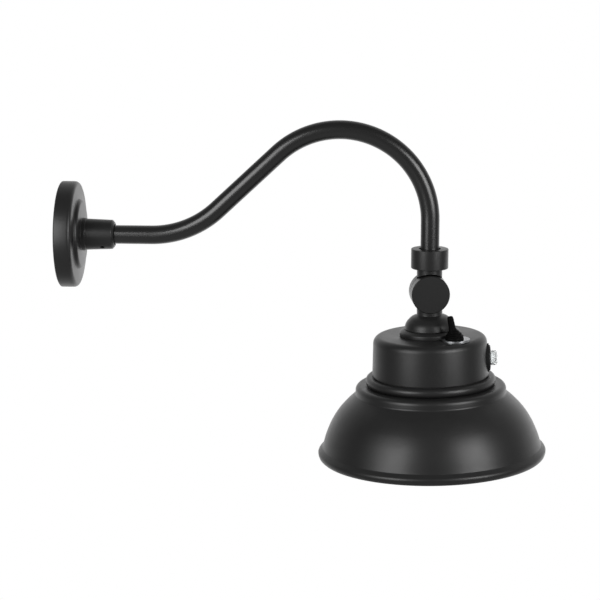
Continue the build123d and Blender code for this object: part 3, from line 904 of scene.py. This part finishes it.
shade = {
    "segments": 192,
    "steps": 9,
    "rings": [
        (56.0, -168.9), (85.8, -168.9), (86.1, -179.4), (101.3, -193.0), (113.6, -209.2),
        (121.6, -228.0), (125.2, -240.8), (129.7, -245.0), (130.45, -246.7), (130.3, -248.9),
        (129.4, -251.4), (127.7, -253.0), (126.3, -252.7), (125.3, -251.7), (124.9, -250.2),
        (125.3, -248.8), (126.3, -247.8), (127.5, -247.4), (127.3, -245.3), (123.7, -241.8),
        (120.1, -228.5), (112.2, -210.0), (100.1, -194.1), (84.5, -180.1), (84.2, -170.5),
        (56.0, -170.5), (56.0, -168.9),
    ],
    "rounds": [
        (85.8, -168.9, 5.4), (86.1, -179.4, 1.0), (101.3, -193.0, 8.8), (113.6, -209.2, 9.4),
        (121.6, -228.0, 5.2), (125.2, -240.8, 0.7), (129.7, -245.0, 0.7), (127.3, -245.3, 0.8),
        (123.7, -241.8, 0.8), (120.1, -228.5, 5.0), (112.2, -210.0, 9.2), (100.1, -194.1, 8.6),
        (84.5, -180.1, 1.6), (84.2, -170.5, 3.9),
    ],
    "whiteAbove": -247.4,  # the rim below this is black all round
    "whiteFacing": -0.1,  # faces that look in and down by more than this are white
    "screwHole": (1.9, -172, -167),  # radius, from, to
}

rimScrews = {
    "out": 69.6,
    "first": 15,
    "count": 6,
}


def drillForScrews(piece, hole):
    # round holes down through a piece that still stands on its own axis
    radius, low, high = hole
    for i in range(rimScrews["count"]):
        a = radians(rimScrews["first"] + 360 / rimScrews["count"] * i)
        spot = rimScrews["out"] * mm * Vector((cos(a), sin(a), 0))
        cut(piece, rodCutter(radius * mm, spot + Vector((0, 0, low * mm)),
                             spot + Vector((0, 0, high * mm))))


def makeShade():
    piece = turnPiece("spunShade", shade)
    drillForScrews(piece, shade["screwHole"])
    white = []
    for face in piece.data.polygons:
        centre, normal = face.center, face.normal
        outward = (normal.x * centre.x + normal.y * centre.y) / hypot(centre.x, centre.y)
        inside = outward + normal.z < shade["whiteFacing"]
        white.append(1 if inside and centre.z > shade["whiteAbove"] * mm else 0)
    finishPiece(piece, headPlace, coatSpun, "black_coat", "head", "shade")
    piece.data.materials.append(innerWhite)
    piece.data.polygons.foreach_set("material_index", white)


makeShade()
print("shade made")

lensPan = {
    "segments": 160,
    "steps": 8,
    "rings": [
        (0, -180.0), (51.0, -180.0), (58.0, -173.5), (65.5, -173.5), (65.5, -171.5),
        (57.0, -171.5), (50.5, -177.8), (0, -177.8),
    ],
    "rounds": [
        (51.0, -180.0, 3.4), (58.0, -173.5, 0.4), (57.0, -171.5, 0.4), (50.5, -177.8, 2.8),
    ],
}

lensClamp = {
    "segments": 160,
    "steps": 4,
    "rings": [
        (65.8, -170.5), (65.8, -173.5), (60.5, -173.5), (60.5, -175.1), (73.6, -175.1),
        (73.6, -170.5), (65.8, -170.5),
    ],
    "rounds": [(60.5, -175.1, 0.6), (73.6, -175.1, 1.2)],
    "screwHole": (1.9, -177, -169),  # radius, from, to
}


def makeLens():
    finishPiece(turnPiece("lensPan", lensPan), headPlace, frostedLens, "frosted_lens", "head",
                "lens", wearAndSheen=False)
    piece = turnPiece("lensClamp", lensClamp)
    drillForScrews(piece, lensClamp["screwHole"])
    finishPiece(piece, headPlace, coatCast, "black_coat", "head", "lens_ring")


makeLens()
print("lens made")

# photocell; its own heights run out of the housing's wall

photocell = {
    "height": -139.3,
    "wall": 65.66,
    "gasketRound": 0.5,
}

photocellSeat = {
    "out": 0.9,
    "segments": 96,
    "steps": 4,
    "rings": [(0, 0), (14.6, 0), (14.6, 1.6), (10.6, 2.2), (8.5, 2.2), (8.5, 0.6), (0, 0.6)],
    "rounds": [(14.6, 1.6, 0.8), (10.6, 2.2, 0.4)],
}

photocellCap = {
    "out": 1.5,
    "segments": 96,
    "steps": 6,
    "rings": [
        (6.9, 0), (8.45, 0), (8.45, 5.2), (8.2, 7.6), (6.6, 9.0), (3.4, 9.4), (0, 9.4),
        (0, 7.8), (3.2, 7.8), (6.0, 7.0), (6.9, 5.4), (6.9, 0),
    ],
    "rounds": [(8.2, 7.6, 0.8), (6.6, 9.0, 0.8)],
}


def cellPlace(out):
    x = (photocell["wall"] + out) * mm
    spot = Matrix.Translation((headX + x, 0, photocell["height"] * mm))
    return leaning @ spot @ Matrix.Rotation(pi / 2, 4, "Y")


def makePhotocell():
    piece = copyOfNode("photocell_gasket", "cellGasket")
    applyModifier(piece, "BEVEL", width=photocell["gasketRound"] * mm, segments=3,
                  limit_method="ANGLE", angle_limit=radians(50))
    smooth(piece)
    dress(piece, gasketRubber, "black_rubber", "head", "photocell_gasket")
    finishPiece(turnPiece("cellSeat", photocellSeat), cellPlace(photocellSeat["out"]),
                darkPlastic, "black_plastic", "head", "photocell_body", wearAndSheen=False)
    finishPiece(turnPiece("cellCap", photocellCap), cellPlace(photocellCap["out"]),
                clearCap, "clear_lens", "head", "photocell_lens", angle=50, wearAndSheen=False)


makePhotocell()
print("photocell made")

# switch: ribbed boot and plate

boot = {
    "segments": 56,
    "spot": (27.8, -36.2, -112.0),
    "pivotHeight": 1.5,
    "throw": 10.0,
    "bendFrom": 7.5,
    "bendTo": 14.5,
    "bendSteps": 14,
    "rings": [
        (0, 27.4), (1.7, 27.2), (2.2, 26.4), (2.4, 15.0), (4.0, 12.4), (5.8, 8.4), (8.2, 6.4),
        (8.4, 2.4), (10.1, 2.4), (10.6, 3.0), (10.6, 4.4), (9.8, 5.2), (9.8, 5.7), (10.3, 6.6),
        (9.8, 7.5), (8.5, 8.0), (8.2, 8.5), (8.6, 9.2), (8.0, 10.0), (6.6, 10.4), (6.2, 10.9),
        (6.4, 11.6), (5.6, 12.4), (4.6, 13.4), (4.1, 14.8), (3.9, 17.0), (3.75, 21.0),
        (3.6, 25.0), (3.5, 27.4), (3.0, 28.8), (1.8, 29.5), (0, 29.6),
    ],
}


def leanBoot(piece):
    # the stick leans with its lever: each band above the bend's start turns a little more
    heights = [v.co.z / mm for v in piece.data.vertices]
    startEdit(piece, "VERT")
    steps = boot["bendSteps"]
    for i in range(steps):
        low = boot["bendFrom"] + (boot["bendTo"] - boot["bendFrom"]) * (i + 0.5) / steps
        mesh = bmesh.from_edit_mesh(piece.data)
        for v in mesh.verts:
            v.select = heights[v.index] > low
        mesh.select_flush_mode()
        bmesh.update_edit_mesh(piece.data)
        bpy.ops.transform.rotate(value=radians(boot["throw"] / steps), orient_axis="Y",
                                 center_override=(0, 0, boot["pivotHeight"] * mm))
    endEdit()
    tip = max((v.co for v in piece.data.vertices), key=lambda c: c.z)
    print("boot tip", [round(c / mm, 2) for c in tip])


def makeBoot():
    piece = turnPiece("ribbedBoot", boot)
    applyModifier(piece, "SUBSURF", levels=1, render_levels=1)
    leanBoot(piece)
    x, y, z = boot["spot"]
    place(piece, headPlace @ Matrix.Translation((x * mm, y * mm, z * mm)))
    smooth(piece, 70)
    dress(piece, bootRubber, "black_rubber", None, "switch_boot", "lever_sleeve")
    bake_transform(piece)


def makePlate():
    piece = copyOfNode("switch_plate", "switchPlate", 40)
    dress(piece, satinPlate, "light_plate", "head", "switch_plate")


makeBoot()
makePlate()
print("switch made")

# small parts: a smooth copy where the part is seen, otherwise a finish for the CAD node itself

smoothParts = {
    "canopy_screws": ("wall_mount", "black_screw", blackOxide),
    "arm_set_screw": ("wall_mount", "black_screw", blackOxide),
    "canopy_gasket": ("wall_mount", "black_rubber", gasketRubber),
    "swivel_set_screw": ("swivel", "black_screw", blackOxide),
    "pivot_bolt": ("head", "black_screw", blackOxide),
    "pivot_washer": ("head", "stainless", brushedSteel),
    "knuckle_seal": ("head", "black_rubber", gasketRubber),
    "bell_gasket": ("head", "black_rubber", gasketRubber),
    "flange_gasket": ("head", "black_rubber", gasketRubber),
    "housing_gasket": ("head", "black_rubber", gasketRubber),
    "shade_screws": ("head", "black_screw", blackOxide),
}

plainParts = {
    "mounting_crossbar": zincPlate,
    "stem_nipple": zincPlate,
    "stem_washer": zincPlate,
    "stem_locknut": zincPlate,
    "housing_screws": zincPlate,
    "driver_screws": zincPlate,
    "led_board_screws": zincPlate,
    "ground_screw": greenPlate,
    "led_driver": driverCase,
    "led_board": boardMask,
    "led_chips": phosphor,
    "lens_gasket": siliconeSheet,
    "photocell_sensor": sensorFilm,
    "photocell_nut": darkPlastic,
    "switch_body": darkPlastic,
    "switch_nut": brushedSteel,
    "lever_pin": brushedSteel,
    "switch_lever": chromeLever,
}


def dressSmallParts():
    for node, (body, slotName, finish) in smoothParts.items():
        piece = copyOfNode(node, node.title().replace("_", "") + "Smooth")
        dress(piece, finish, slotName, body, node)
    for node, finish in plainParts.items():
        slots = frame["nodes"][node].data.materials
        slots.clear()
        slots.append(finish)


dressSmallParts()
print("small parts dressed")
